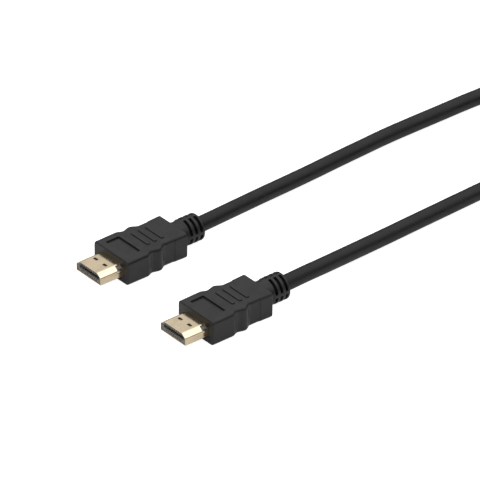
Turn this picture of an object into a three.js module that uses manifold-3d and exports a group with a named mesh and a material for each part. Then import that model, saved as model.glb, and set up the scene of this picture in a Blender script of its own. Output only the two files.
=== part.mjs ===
// A flat audio-video cable: two identical moulded plugs, side by side, joined by one round cable that lies
// in a small coil behind them. Millimetres. X runs along the plugs from tip to cable, Y across them and Z up.
// The origin is on the floor, in the middle of the two plugs' outline.

import * as THREE from "three";
import { mergeVertices } from "three/addons/utils/BufferGeometryUtils.js";
import Module from "manifold-3d";

const wasm = await Module();
wasm.setup();

// Moulded body
const BODY_LENGTH = 28.2;
const BODY_FRONT_HEIGHT = 9.9;
const BODY_REAR_HEIGHT = 10.4;
const LONG_EDGE_RADIUS = 1.45;
const END_EDGE_RADIUS = 0.6;
const BLOCK_WIDTH = 19.5;
const BLOCK_LENGTH = 9.2;
const WAIST_WIDTH = 17.5;
const WAIST_STATION = 12;
const RIDGE_WIDTH = 18.9;
const RIDGE_STATION = 15.2;
const GRIP_WIDTH = 15.8;
const GRIP_STATION = 18.5;
const LIP_STATION = 22.4;
const LIP_LENGTH = 0.5;
const LIP_WIDTH = 16.3;
const REAR_WIDTH = 16.6;

// Details of the moulding's top
const LABEL_START = 2.6;
const LABEL_LENGTH = 5.9;
const LABEL_WIDTH = 12.4;
const LABEL_DEPTH = 0.6;
const BAR_COUNT = 3;
const BAR_START = 12.6;
const BAR_PITCH = 3.2;
const BAR_WIDTH = 1.5;
const BAR_LENGTH = 10;
const BAR_RISE = 0.35;

// Strain relief, moulded on with the body
const RELIEF_LENGTH = 10.6;
const RELIEF_RADIUS = BODY_REAR_HEIGHT / 2;
const RELIEF_ROOT = 6;
const SLOT_COUNT = 3;
const SLOT_START = 3.9;
const SLOT_PITCH = 2.3;
const SLOT_WIDTH = 1.15;
const SLOT_DEPTH = 1.4;
const WEB_WIDTH = 1.3;

// Plated shell
const SHELL_WIDTH = 13.9;
const SHELL_HEIGHT = 4.45;
const SHELL_WALL = 0.4;
const SHELL_REACH = 10;
const SHELL_SEAT = 5;
const SHELL_HEIGHT_ABOVE_FLOOR = 5.2;
const CORNER_INSET = 2.1;
const CORNER_DROP = 1.5;
const CORNER_NOTCH = 2.3;
const LATCH_LENGTH = 1.2;
const LATCH_WIDTH = 2;
const LATCH_SETBACK = 4.7;
const LATCH_SPACING = 5.2;

// Contact carrier and contacts
const CARRIER_SETBACK = 0.35;
const CARRIER_LENGTH = 12;
const SOCKET_WIDTH = 11.2;
const SOCKET_HEIGHT = 1.9;
const SOCKET_DEPTH = 8;
const UPPER_CONTACTS = 10;
const LOWER_CONTACTS = 9;
const CONTACT_PITCH = 1;
const CONTACT_WIDTH = 0.45;
const CONTACT_THICKNESS = 0.25;
const CONTACT_LENGTH = 7;
const CONTACT_SETBACK = 0.3;

// Clearances
const MOULDING_GAP = 0.3;
const SEAT_GAP = 0.3;
const CARRIER_GAP = 0.05;
const CONTACT_GAP = 0.05;

// Cable and coil
const CORD_DIAMETER = 6;
const CORD_SIDES = 12;
const CORD_STEP = 2.4;
const LAY_GAP = 0.05;
const COIL_X = 221.5;
const COIL_Y = 0;
const COIL_INNER_TURN = 28.5;
const COIL_TURNS_ACROSS = 2.25;
const COIL_PITCH = 6.2;
const COIL_LAYERS = 2;
const COIL_LAYER_HEIGHT = 6.1;

// Ties that hold the coil, one on each side
const TIE_WIDTH = 3.6;
const TIE_THICKNESS = 0.6;
const TIE_CORNER = 1.5;
const TIE_GAP = 0.3;

// Places of the plugs
const PLUG_SPACING = 49.4;
const PLUG_B_SETBACK = 1.5;

const OVERCUT = 1;
const CORD_RADIUS = CORD_DIAMETER / 2;
const LAY_HEIGHT = CORD_RADIUS + LAY_GAP;
const COIL_INSIDE = COIL_INNER_TURN - CORD_RADIUS;
const COIL_OUTSIDE = COIL_INNER_TURN + COIL_TURNS_ACROSS * COIL_PITCH + CORD_RADIUS;
const COIL_HEIGHT = LAY_HEIGHT + (COIL_LAYERS - 1) * COIL_LAYER_HEIGHT + CORD_RADIUS;
const RELIEF_END = BODY_LENGTH + RELIEF_LENGTH;
const CORD_START = RELIEF_END + SEAT_GAP;
const PLUG_B_FRONT = SHELL_REACH - (SHELL_REACH + RELIEF_END + PLUG_B_SETBACK) / 2;
const PLUG_A_FRONT = PLUG_B_FRONT + PLUG_B_SETBACK;

const vinyl = new THREE.MeshStandardMaterial({ color: 0x1d1d1f, roughness: 0.55, metalness: 0 });
const jacket = new THREE.MeshStandardMaterial({ color: 0x19191b, roughness: 0.5, metalness: 0 });
const plating = new THREE.MeshStandardMaterial({ color: 0xd8c9a0, roughness: 0.3, metalness: 1 });
const insulator = new THREE.MeshStandardMaterial({ color: 0x101012, roughness: 0.6, metalness: 0 });
const gold = new THREE.MeshStandardMaterial({ color: 0xd9ab4d, roughness: 0.3, metalness: 1 });
const tieFilm = new THREE.MeshStandardMaterial({ color: 0x161617, roughness: 0.4, metalness: 0 });

// Solids for joining and cutting

function toSolid(geometry) {
  const plain = geometry.clone();
  plain.deleteAttribute("normal");
  plain.deleteAttribute("uv");
  const merged = mergeVertices(plain, 1e-5);
  return new wasm.Manifold(new wasm.Mesh({
    numProp: 3,
    vertProperties: new Float32Array(merged.attributes.position.array),
    triVerts: new Uint32Array(merged.index.array),
  }));
}

function toGeometry(solid) {
  const { vertProperties, triVerts } = solid.getMesh();
  const geometry = new THREE.BufferGeometry();
  geometry.setAttribute("position", new THREE.BufferAttribute(vertProperties, 3));
  geometry.setIndex(new THREE.BufferAttribute(triVerts, 1));
  geometry.computeVertexNormals();
  return geometry;
}

// A box given by its lowest corner and its size.
function block([x, y, z], [length, width, height]) {
  const box = new THREE.BoxGeometry(length, width, height);
  return box.translate(x + length / 2, y + width / 2, z + height / 2);
}

// An outline in Y and Z, drawn out along X from a start.
function alongX(shape, start, length, steps = 1) {
  const geometry = new THREE.ExtrudeGeometry(shape, { depth: length, bevelEnabled: false, steps });
  return geometry.rotateX(Math.PI / 2).rotateZ(Math.PI / 2).translate(start, 0, 0);
}

// A lathe profile of points (station, radius), turned about the X axis at a height.
function aboutX(profile, height, sides = 32) {
  const points = profile.map(([station, radius]) => new THREE.Vector2(radius, station));
  return new THREE.LatheGeometry(points, sides).rotateZ(-Math.PI / 2).translate(0, 0, height);
}

function roundedRectangle(width, height, radius) {
  const w = width / 2;
  const shape = new THREE.Shape();
  shape.moveTo(-w + radius, 0);
  shape.lineTo(w - radius, 0);
  shape.absarc(w - radius, radius, radius, -Math.PI / 2, 0);
  shape.lineTo(w, height - radius);
  shape.absarc(w - radius, height - radius, radius, 0, Math.PI / 2);
  shape.lineTo(-w + radius, height);
  shape.absarc(-w + radius, height - radius, radius, Math.PI / 2, Math.PI);
  shape.lineTo(-w, radius);
  shape.absarc(-w + radius, radius, radius, Math.PI, Math.PI * 1.5);
  return shape;
}

// Moulded body, with x = 0 at its front face

const SIDE_LINE = [
  [0, BLOCK_WIDTH],
  [BLOCK_LENGTH, BLOCK_WIDTH],
  [WAIST_STATION, WAIST_WIDTH],
  [RIDGE_STATION, RIDGE_WIDTH],
  [GRIP_STATION, GRIP_WIDTH],
  [LIP_STATION, GRIP_WIDTH],
  [LIP_STATION + LIP_LENGTH, LIP_WIDTH],
  [BODY_LENGTH, REAR_WIDTH],
];

function bodyWidth(station) {
  const last = SIDE_LINE.findIndex(([end]) => end >= station);
  const [x1, w1] = SIDE_LINE[Math.max(last, 1)];
  const [x0, w0] = SIDE_LINE[Math.max(last, 1) - 1];
  return w0 + (w1 - w0) * THREE.MathUtils.smoothstep(station, x0, x1);
}

function bodyTop(station) {
  return THREE.MathUtils.lerp(BODY_FRONT_HEIGHT, BODY_REAR_HEIGHT, station / BODY_LENGTH);
}

// Stations of the body's sections, each with how far its end edge is rounded in.
function bodyStations() {
  const cuts = 4;
  const inside = [];
  for (let i = 1; i < SIDE_LINE.length; i += 1) {
    const [x0, w0] = SIDE_LINE[i - 1];
    const [x1, w1] = SIDE_LINE[i];
    const parts = w0 === w1 ? 1 : cuts;
    for (let k = 1; k <= parts; k += 1) inside.push(x0 + ((x1 - x0) * k) / parts);
  }
  inside.pop();
  const arc = [0, 1, 2, 3].map((k) => (k * Math.PI) / 6);
  const reach = (share) => END_EDGE_RADIUS * (1 - share);
  const front = arc.map((angle) => [reach(Math.cos(angle)), reach(Math.sin(angle))]);
  const rear = front.map(([x, inset]) => [BODY_LENGTH - x, inset]).reverse();
  return [...front, ...inside.map((x) => [x, 0]), ...rear];
}

function bodyBlank() {
  const stations = bodyStations();
  const section = roundedRectangle(BLOCK_WIDTH, BODY_FRONT_HEIGHT, LONG_EDGE_RADIUS);
  const steps = stations.length - 1;
  const settings = { depth: steps, bevelEnabled: false, steps, curveSegments: 4 };
  const blank = new THREE.ExtrudeGeometry(section, settings);
  blank.rotateX(Math.PI / 2).rotateZ(Math.PI / 2);
  const { position } = blank.attributes;
  for (let i = 0; i < position.count; i += 1) {
    const [x, inset] = stations[Math.round(position.getX(i))];
    const y = position.getY(i);
    const z = position.getZ(i);
    const widened = (bodyWidth(x) - BLOCK_WIDTH) / 2 - inset;
    const raised = bodyTop(x) - BODY_FRONT_HEIGHT - inset;
    position.setXYZ(i, x, y + Math.sign(y) * widened, z > BODY_FRONT_HEIGHT / 2 ? z + raised : z + inset);
  }
  return toSolid(blank);
}

function reliefBlank() {
  const root = BODY_LENGTH - RELIEF_ROOT;
  const profile = [
    [root, 0],
    [root, RELIEF_RADIUS - LONG_EDGE_RADIUS],
    [BODY_LENGTH - END_EDGE_RADIUS, RELIEF_RADIUS - 0.1],
    [BODY_LENGTH + END_EDGE_RADIUS, RELIEF_RADIUS],
    [RELIEF_END - END_EDGE_RADIUS / 2, RELIEF_RADIUS],
    [RELIEF_END, RELIEF_RADIUS - END_EDGE_RADIUS / 2],
    [RELIEF_END, 0],
  ];
  return toSolid(aboutX(profile, RELIEF_RADIUS));
}

// One ring of four slots, with a web left at the top, the bottom and each side.
function reliefSlots(start) {
  const bottom = RELIEF_RADIUS - SLOT_DEPTH;
  const outside = RELIEF_RADIUS + OVERCUT;
  const ring = [
    [start, bottom],
    [start, outside],
    [start + SLOT_WIDTH, outside],
    [start + SLOT_WIDTH, bottom],
    [start, bottom],
  ];
  const size = 2 * (outside + OVERCUT);
  const upright = block([start - OVERCUT, -WEB_WIDTH / 2, RELIEF_RADIUS - size / 2],
    [SLOT_WIDTH + 2 * OVERCUT, WEB_WIDTH, size]);
  const level = block([start - OVERCUT, -size / 2, RELIEF_RADIUS - WEB_WIDTH / 2],
    [SLOT_WIDTH + 2 * OVERCUT, size, WEB_WIDTH]);
  return toSolid(aboutX(ring, RELIEF_RADIUS)).subtract(toSolid(upright)).subtract(toSolid(level));
}

// A raised finger bar across the top, with round ends.
function gripBar(start) {
  const sunk = 1;
  const middle = start + BAR_WIDTH / 2;
  const outline = new THREE.Shape();
  const half = (BAR_LENGTH - BAR_WIDTH) / 2;
  outline.absarc(middle, half, BAR_WIDTH / 2, 0, Math.PI);
  outline.absarc(middle, -half, BAR_WIDTH / 2, Math.PI, 2 * Math.PI);
  const settings = { depth: sunk + BAR_RISE, bevelEnabled: false, curveSegments: 6 };
  const bar = new THREE.ExtrudeGeometry(outline, settings);
  return toSolid(bar.translate(0, 0, bodyTop(middle) - sunk));
}

function plugMoulding() {
  let body = bodyBlank().add(reliefBlank());
  const pocketWidth = SHELL_WIDTH + 2 * MOULDING_GAP;
  const pocketHeight = SHELL_HEIGHT + 2 * MOULDING_GAP;
  const pocket = block([-OVERCUT, -pocketWidth / 2, SHELL_HEIGHT_ABOVE_FLOOR - pocketHeight / 2],
    [OVERCUT + SHELL_SEAT + SEAT_GAP, pocketWidth, pocketHeight]);
  const labelFloor = bodyTop(LABEL_START + LABEL_LENGTH / 2) - LABEL_DEPTH;
  const label = block([LABEL_START, -LABEL_WIDTH / 2, labelFloor],
    [LABEL_LENGTH, LABEL_WIDTH, LABEL_DEPTH + OVERCUT]);
  body = body.subtract(toSolid(pocket)).subtract(toSolid(label));
  for (let i = 0; i < BAR_COUNT; i += 1) body = body.add(gripBar(BAR_START + i * BAR_PITCH));
  for (let i = 0; i < SLOT_COUNT; i += 1) {
    body = body.subtract(reliefSlots(BODY_LENGTH + SLOT_START + i * SLOT_PITCH));
  }
  return toGeometry(body);
}

// Shell, contact carrier and contacts, about the shell's own axis and with x = 0 at the body's front face

// The shell's outline, held in by a distance all round: a rectangle whose two upper corners are cut off.
function shellOutline(holdIn) {
  const w = SHELL_WIDTH / 2 - holdIn;
  const h = SHELL_HEIGHT / 2 - holdIn;
  const slope = Math.hypot(CORNER_INSET, CORNER_DROP);
  const cut = holdIn * (CORNER_INSET + CORNER_DROP - slope);
  const inset = CORNER_INSET - cut / CORNER_DROP;
  const drop = CORNER_DROP - cut / CORNER_INSET;
  const outline = new THREE.Shape();
  outline.moveTo(-w, -h);
  outline.lineTo(w, -h);
  outline.lineTo(w, h - drop);
  outline.lineTo(w - inset, h);
  outline.lineTo(-w + inset, h);
  outline.lineTo(-w, h - drop);
  return outline;
}

// Two spring holes through the top wall and two through the bottom wall.
function latchHoles() {
  const holes = [];
  for (const side of [-1, 1]) {
    const y = (side * LATCH_SPACING) / 2 - LATCH_WIDTH / 2;
    for (const z of [SHELL_HEIGHT / 2 - SHELL_WALL - CARRIER_GAP / 2, -SHELL_HEIGHT / 2 - OVERCUT]) {
      holes.push(block([-LATCH_SETBACK - LATCH_LENGTH / 2, y, z],
        [LATCH_LENGTH, LATCH_WIDTH, SHELL_WALL + CARRIER_GAP / 2 + OVERCUT]));
    }
  }
  return holes.map(toSolid);
}

// The slanted corner strips end short of the body, where the sheet is cut away.
function cornerNotches() {
  const height = CORNER_DROP + OVERCUT;
  const width = CORNER_INSET + OVERCUT;
  return [SHELL_WIDTH / 2 - CORNER_INSET, -SHELL_WIDTH / 2 - OVERCUT].map((y) => toSolid(
    block([-CORNER_NOTCH, y, SHELL_HEIGHT / 2 - CORNER_DROP], [CORNER_NOTCH, width, height]),
  ));
}

function shellSleeve() {
  const length = SHELL_REACH + SHELL_SEAT;
  const inside = alongX(shellOutline(SHELL_WALL), -SHELL_REACH - OVERCUT, length + 2 * OVERCUT);
  let sleeve = toSolid(alongX(shellOutline(0), -SHELL_REACH, length)).subtract(toSolid(inside));
  for (const cut of [...latchHoles(), ...cornerNotches()]) sleeve = sleeve.subtract(cut);
  return toGeometry(sleeve);
}

function contactCarrier() {
  const front = -SHELL_REACH + CARRIER_SETBACK;
  const blank = toSolid(alongX(shellOutline(SHELL_WALL + CARRIER_GAP), front, CARRIER_LENGTH));
  const socket = block([front - OVERCUT, -SOCKET_WIDTH / 2, -SOCKET_HEIGHT / 2],
    [OVERCUT + SOCKET_DEPTH, SOCKET_WIDTH, SOCKET_HEIGHT]);
  return toGeometry(blank.subtract(toSolid(socket)));
}

function contactBlade(y, upper) {
  const wall = SOCKET_HEIGHT / 2 - CONTACT_GAP;
  const z = upper ? wall - CONTACT_THICKNESS : -wall;
  const x = -SHELL_REACH + CARRIER_SETBACK + CONTACT_SETBACK;
  return block([x, y - CONTACT_WIDTH / 2, z], [CONTACT_LENGTH, CONTACT_WIDTH, CONTACT_THICKNESS]);
}

// Cable and coil

// The cable's free stretches, from each plug to the coil: chosen by hand.
const LEAD_A_POINTS = [
  [PLUG_A_FRONT + CORD_START, PLUG_SPACING / 2, RELIEF_RADIUS],
  [31, 25, 5.2],
  [36.5, 25.4, 5.1],
  [46.5, 26.4, 4.7],
  [58.5, 27.85, 4],
  [70.5, 29.05, 3.4],
  [82.5, 30.05, LAY_HEIGHT],
  [95.5, 30.9, LAY_HEIGHT],
  [107.5, 31.55, LAY_HEIGHT],
  [120.5, 32.2, LAY_HEIGHT],
  [132.5, 32.3, LAY_HEIGHT],
  [144.5, 32.25, LAY_HEIGHT],
  [157, 32.25, LAY_HEIGHT],
  [169.5, 32.15, LAY_HEIGHT],
  [180.5, 33.7, LAY_HEIGHT],
  [189.2, 36.1, LAY_HEIGHT],
];
const LEAD_B_POINTS = [
  [PLUG_B_FRONT + CORD_START, -PLUG_SPACING / 2, RELIEF_RADIUS],
  [29.5, -24.45, 5.2],
  [35, -24.1, 5.1],
  [42.5, -23.5, 4.7],
  [53.5, -22.4, 4.05],
  [65.5, -21.25, 3.4],
  [77, -20.4, LAY_HEIGHT],
  [89, -19.85, LAY_HEIGHT],
  [101, -19.35, LAY_HEIGHT],
  [113, -18.85, LAY_HEIGHT],
  [126.5, -18.5, LAY_HEIGHT],
  [140.5, -19.7, 3.1],
  [152.5, -22.8, 3.3],
  [164.5, -26.9, 4.1],
  [176.5, -31.3, 5.3],
  [188.7, -35.7, 6.8],
];

function lead(points) {
  const places = points.map((point) => new THREE.Vector3(...point));
  const path = new THREE.CatmullRomCurve3(places, false, "centripetal");
  const section = new THREE.Shape();
  section.absarc(0, 0, CORD_RADIUS, 0, 2 * Math.PI);
  const steps = Math.round(path.getLength() / (CORD_STEP * CORD_DIAMETER));
  return new THREE.ExtrudeGeometry(section, {
    extrudePath: path, steps, bevelEnabled: false, curveSegments: CORD_SIDES / 2,
  });
}

// The wound turns as one ring, with a groove under it where the ties pass.
function coilRing() {
  const profile = [
    [COIL_INSIDE, 0],
    [COIL_OUTSIDE, 0],
    [COIL_OUTSIDE, COIL_HEIGHT],
    [COIL_INSIDE, COIL_HEIGHT],
    [COIL_INSIDE, 0],
  ];
  const points = profile.map(([radius, z]) => new THREE.Vector2(radius, z));
  const ring = toSolid(new THREE.LatheGeometry(points, 48).rotateX(Math.PI / 2));
  const reach = COIL_OUTSIDE + OVERCUT;
  const groove = block([-TIE_WIDTH / 2 - TIE_GAP, -reach, -OVERCUT],
    [TIE_WIDTH + 2 * TIE_GAP, 2 * reach, OVERCUT + TIE_THICKNESS + TIE_GAP]);
  return toGeometry(ring.subtract(toSolid(groove)));
}

// A flat tie around the coil's section, standing on the floor.
function coilTie() {
  const width = COIL_OUTSIDE - COIL_INSIDE + 2 * (TIE_GAP + TIE_THICKNESS);
  const height = COIL_HEIGHT + TIE_GAP + TIE_THICKNESS;
  const outside = alongX(roundedRectangle(width, height, TIE_CORNER), -TIE_WIDTH / 2, TIE_WIDTH);
  const holeWidth = width - 2 * TIE_THICKNESS;
  const hole = roundedRectangle(holeWidth, height - 2 * TIE_THICKNESS, TIE_CORNER - TIE_THICKNESS);
  const inside = alongX(hole, -TIE_WIDTH / 2 - OVERCUT, TIE_WIDTH + 2 * OVERCUT);
  return toGeometry(toSolid(outside).subtract(toSolid(inside.translate(0, 0, TIE_THICKNESS))));
}

// Assembly

function part(name, geometry, material) {
  const mesh = new THREE.Mesh(geometry, material);
  mesh.name = name;
  return mesh;
}

function contacts(tag) {
  const rows = [["upper", UPPER_CONTACTS], ["lower", LOWER_CONTACTS]];
  return rows.flatMap(([row, count]) => Array.from({ length: count }, (_, i) => {
    const y = (i - (count - 1) / 2) * CONTACT_PITCH;
    return part(`contact_${tag}_${row}_${i + 1}`, contactBlade(y, row === "upper"), gold);
  }));
}

function plug(tag, front, y) {
  const group = new THREE.Group();
  group.position.set(front, y, 0);
  group.add(part(`plug_moulding_${tag}`, plugMoulding(), vinyl));
  const connector = new THREE.Group();
  connector.position.z = SHELL_HEIGHT_ABOVE_FLOOR;
  connector.add(part(`plug_shell_${tag}`, shellSleeve(), plating));
  connector.add(part(`contact_carrier_${tag}`, contactCarrier(), insulator));
  connector.add(...contacts(tag));
  group.add(connector);
  return group;
}

const cable = new THREE.Group();
cable.add(plug("a", PLUG_A_FRONT, PLUG_SPACING / 2));
cable.add(plug("b", PLUG_B_FRONT, -PLUG_SPACING / 2));
cable.add(part("cable_lead_a", lead(LEAD_A_POINTS), jacket));
cable.add(part("cable_lead_b", lead(LEAD_B_POINTS), jacket));
const coil = new THREE.Group();
coil.position.set(COIL_X, COIL_Y, 0);
coil.add(part("cable_coil", coilRing(), jacket));
for (const [tag, side] of [["a", 1], ["b", -1]]) {
  const tie = part(`coil_tie_${tag}`, coilTie(), tieFilm);
  tie.position.y = (side * (COIL_INSIDE + COIL_OUTSIDE)) / 2;
  coil.add(tie);
}
cable.add(coil);

export default cable;
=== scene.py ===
"""A flat audio-video cable: two moulded plugs side by side, joined by one round cable.

The cable's unseen length lies in a small tied coil behind the plugs. Everything is in metres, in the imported
model's frame: X runs from the plugs' tips to the cable, Y across the plugs and Z up from the floor.
"""

import logging
import math
from collections.abc import Callable
from dataclasses import dataclass
from enum import Enum
from itertools import pairwise, product

import bmesh
import bpy
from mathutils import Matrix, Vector


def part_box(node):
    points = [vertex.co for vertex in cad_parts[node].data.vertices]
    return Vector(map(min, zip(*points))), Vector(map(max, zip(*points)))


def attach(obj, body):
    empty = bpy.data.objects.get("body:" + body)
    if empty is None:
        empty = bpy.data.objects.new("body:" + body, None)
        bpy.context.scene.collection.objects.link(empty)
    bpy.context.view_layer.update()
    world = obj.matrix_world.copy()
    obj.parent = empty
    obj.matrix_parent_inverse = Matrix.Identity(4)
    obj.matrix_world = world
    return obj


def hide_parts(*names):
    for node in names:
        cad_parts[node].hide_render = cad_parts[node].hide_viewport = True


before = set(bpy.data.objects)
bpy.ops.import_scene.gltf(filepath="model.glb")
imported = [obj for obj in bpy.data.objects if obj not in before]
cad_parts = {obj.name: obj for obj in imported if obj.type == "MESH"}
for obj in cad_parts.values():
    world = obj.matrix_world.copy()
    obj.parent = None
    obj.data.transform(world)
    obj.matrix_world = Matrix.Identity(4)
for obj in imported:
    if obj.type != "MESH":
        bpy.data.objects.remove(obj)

log = logging.getLogger("cable")

MM = 0.001
TOUCH = 0.00001
OVERCUT = 1.0 * MM
STRAIGHT = 0.999  # cosine between an axis and an edge that runs along it
FACING = 0.9  # cosine between an axis and a normal or a bowed edge that follows it
CREASE = 0.8  # angle between two faces that meet at a sharp edge, in radians
SIDES = (-1, 1)
ALONG = Vector((1, 0, 0))
ACROSS = Vector((0, 1, 0))
UP = Vector((0, 0, 1))
PLUGS = ("a", "b")


# Modelling by hand


class Pick(Enum):
    """What an edit-mode choice picks."""

    POINTS = "VERT"
    EDGES = "EDGE"
    FACES = "FACE"


class Join(Enum):
    """How a tool solid changes the piece that it meets."""

    ADD = "UNION"
    CUT = "DIFFERENCE"


def activate(piece: bpy.types.Object) -> None:
    """Makes one object the only selected and the active one.

    Args:
        piece: The object.
    """
    bpy.ops.object.select_all(action="DESELECT")
    piece.select_set(True)
    bpy.context.view_layer.objects.active = piece


def settle(piece: bpy.types.Object) -> bpy.types.Object:
    """Puts an object's place, turn and size into its mesh.

    Args:
        piece: The object.

    Returns:
        The same object.
    """
    activate(piece)
    bpy.ops.object.transform_apply(location=True, rotation=True, scale=True)
    return piece


def same(a: float, b: float) -> bool:
    """Says whether two measures are the same place."""
    return abs(a - b) < TOUCH


def smoothstep(share: float) -> float:
    """Eases a share from 0 to 1, level at both ends."""
    held = min(max(share, 0.0), 1.0)
    return held * held * (3 - 2 * held)


def runs_along(axis: Vector, least: float = STRAIGHT) -> Callable[[bmesh.types.BMEdge], bool]:
    """Makes a test for the edges that run along an axis.

    Args:
        axis: The axis.
        least: The least cosine between the axis and such an edge.

    Returns:
        The test, which takes an edge.
    """

    def test(edge: bmesh.types.BMEdge) -> bool:
        """Says whether one edge runs along the axis."""
        line = edge.verts[1].co - edge.verts[0].co
        return abs(line.normalized().dot(axis)) > least

    return test


def points_at(axis: Vector, place: float) -> Callable[[bmesh.types.BMVert], bool]:
    """Returns a test for the points that lie in the plane across an axis at a place."""
    return lambda point: same(point.co.dot(axis), place)


def rim_at(axis: Vector, place: float) -> Callable[[bmesh.types.BMEdge | bmesh.types.BMFace], bool]:
    """Returns a test for the edges or faces that lie in the plane across an axis at a place."""
    in_plane = points_at(axis, place)
    return lambda element: all(in_plane(point) for point in element.verts)


def creased(edge: bmesh.types.BMEdge) -> bool:
    """Says whether the faces beside an edge meet sharply there."""
    return edge.calc_face_angle(0.0) > CREASE


def closes_end(face: bmesh.types.BMFace) -> bool:
    """Says whether a face closes an end of a piece that runs along X."""
    return abs(face.normal.x) > FACING


def anything(element: object) -> bool:
    """Lets every point, edge or face pass."""
    return True


def even_steps(length: float, count: int) -> list[float]:
    """Returns the places that divide a length into equal steps, with both ends."""
    return [length * step / count for step in range(count + 1)]


class Bench:
    """One mesh in edit mode, whose parts are picked by place or normal before an operator shapes them."""

    def __init__(self, piece: bpy.types.Object) -> None:
        """Keeps the piece that is worked on."""
        self.piece = piece

    def __enter__(self) -> "Bench":
        """Opens the piece for editing.

        Returns:
            The bench itself.
        """
        activate(self.piece)
        bpy.ops.object.mode_set(mode="EDIT")
        return self

    def __exit__(self, *problem: object) -> None:
        """Closes the piece again."""
        bpy.ops.object.mode_set(mode="OBJECT")

    def pick(self, kind: Pick, test: Callable) -> int:
        """Selects only the points, edges or faces that pass a test.

        Args:
            kind: What is picked.
            test: Takes a point, edge or face of the mesh, and says whether it is picked.

        Returns:
            How many were picked.
        """
        bpy.ops.mesh.select_mode(type=kind.value)
        bpy.ops.mesh.select_all(action="DESELECT")
        mesh = bmesh.from_edit_mesh(self.piece.data)
        every = {Pick.POINTS: mesh.verts, Pick.EDGES: mesh.edges, Pick.FACES: mesh.faces}[kind]
        chosen = [element for element in every if test(element)]
        for element in chosen:
            element.select_set(True)
        mesh.select_flush_mode()
        bmesh.update_edit_mesh(self.piece.data)
        return len(chosen)

    def cut(self, axis: Vector, place: float) -> None:
        """Cuts the whole mesh's faces along the plane across an axis at a place."""
        bpy.ops.mesh.select_all(action="SELECT")
        bpy.ops.mesh.bisect(plane_co=axis * place, plane_no=axis, threshold=TOUCH / 10)

    def move(self, shift: Vector) -> None:
        """Moves what is picked."""
        bpy.ops.transform.translate(value=shift)

    def swell(self, factors: tuple[float, float, float], centre: Vector) -> None:
        """Resizes what is picked about a centre."""
        bpy.ops.transform.resize(value=factors, center_override=centre)

    def turn(self, angle: float, axis: str, centre: Vector) -> None:
        """Turns what is picked about one of the three axes through a centre."""
        bpy.ops.transform.rotate(value=angle, orient_axis=axis, center_override=centre)

    def round_off(self, radius: float, steps: int) -> None:
        """Rounds the picked edges."""
        bpy.ops.mesh.bevel(offset=radius, segments=steps, profile=0.5, affect="EDGES", clamp_overlap=True)

    def tidy(self) -> None:
        """Merges doubled points and turns every face outwards."""
        bpy.ops.mesh.select_all(action="SELECT")
        bpy.ops.mesh.remove_doubles(threshold=TOUCH / 10)
        bpy.ops.mesh.normals_make_consistent(inside=False)


def block(name: str, low: Vector, high: Vector) -> bpy.types.Object:
    """Adds a box between two corners, as the start of a piece.

    Args:
        name: The box's name.
        low: Its lowest corner.
        high: Its highest corner.

    Returns:
        The box.
    """
    bpy.ops.object.select_all(action="DESELECT")
    bpy.ops.mesh.primitive_cube_add(size=1.0, location=(low + high) / 2)
    piece = bpy.context.object
    piece.name = name
    piece.scale = high - low
    return settle(piece)


def rod(name: str, start: Vector, length: float, radius: float, sides: int) -> bpy.types.Object:
    """Adds a round bar along X from a start, as the start of a piece.

    Args:
        name: The bar's name.
        start: The middle of its front end.
        length: Its length.
        radius: Its radius.
        sides: How many flat sides stand for its round.

    Returns:
        The bar.
    """
    bpy.ops.object.select_all(action="DESELECT")
    middle = start + ALONG * length / 2
    laid_down = (0, math.pi / 2, 0)
    bpy.ops.mesh.primitive_cylinder_add(
        vertices=sides, radius=radius, depth=length, location=middle, rotation=laid_down
    )
    piece = bpy.context.object
    piece.name = name
    return settle(piece)


def joined(name: str, pieces: list[bpy.types.Object]) -> bpy.types.Object:
    """Makes one mesh of several, under one name.

    Args:
        name: The mesh's name.
        pieces: The objects, of which the first stays.

    Returns:
        The one object.
    """
    activate(pieces[0])
    for piece in pieces:
        piece.select_set(True)
    bpy.ops.object.join()
    pieces[0].name = name
    return pieces[0]


def modify(piece: bpy.types.Object, kind: str, **settings: object) -> None:
    """Adds a modifier with its settings and applies it.

    Args:
        piece: The piece that it changes.
        kind: The modifier's type.
        settings: Its settings by name.
    """
    activate(piece)
    modifier = piece.modifiers.new("step", kind)
    for name, value in settings.items():
        setattr(modifier, name, value)
    bpy.ops.object.modifier_apply(modifier=modifier.name)


def combine(piece: bpy.types.Object, tool: bpy.types.Object, how: Join) -> None:
    """Adds a tool solid to a piece or cuts it out, and takes the tool away.

    Args:
        piece: The piece that is changed.
        tool: The tool solid.
        how: Whether it is added or cut out.
    """
    modify(piece, "BOOLEAN", object=tool, operation=how.value, solver="EXACT", use_self=True)
    bpy.data.objects.remove(tool)


def smooth(piece: bpy.types.Object, angle: float = 32.0, weight: int = 80) -> bpy.types.Object:
    """Shades a piece smoothly, with its flats kept flat and its creases kept sharp.

    Args:
        piece: The piece.
        angle: The largest angle, in degrees, that is shaded smoothly.
        weight: How much the large faces hold the normals, from 1 to 100.

    Returns:
        The same piece.
    """
    activate(piece)
    bpy.ops.object.shade_smooth_by_angle(angle=math.radians(angle))
    modify(piece, "WEIGHTED_NORMAL", keep_sharp=True, weight=weight)
    return piece


def placed_copy(piece: bpy.types.Object, name: str, shift: Vector) -> bpy.types.Object:
    """Copies a piece with its own mesh, moved in the mesh itself.

    Args:
        piece: The piece that is copied.
        name: The copy's name.
        shift: How far the copy lies from the piece.

    Returns:
        The copy, with its object at the origin.
    """
    activate(piece)
    bpy.ops.object.duplicate(linked=False)
    copy = bpy.context.object
    copy.name = name
    copy.data.name = name
    copy.location = shift
    return settle(copy)


def plug_place(tag: str) -> Vector:
    """Where a plug's body starts: on the floor, in the middle of its front face."""
    low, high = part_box(f"plug_moulding_{tag}")
    return Vector((low.x, (low.y + high.y) / 2, 0))


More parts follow.
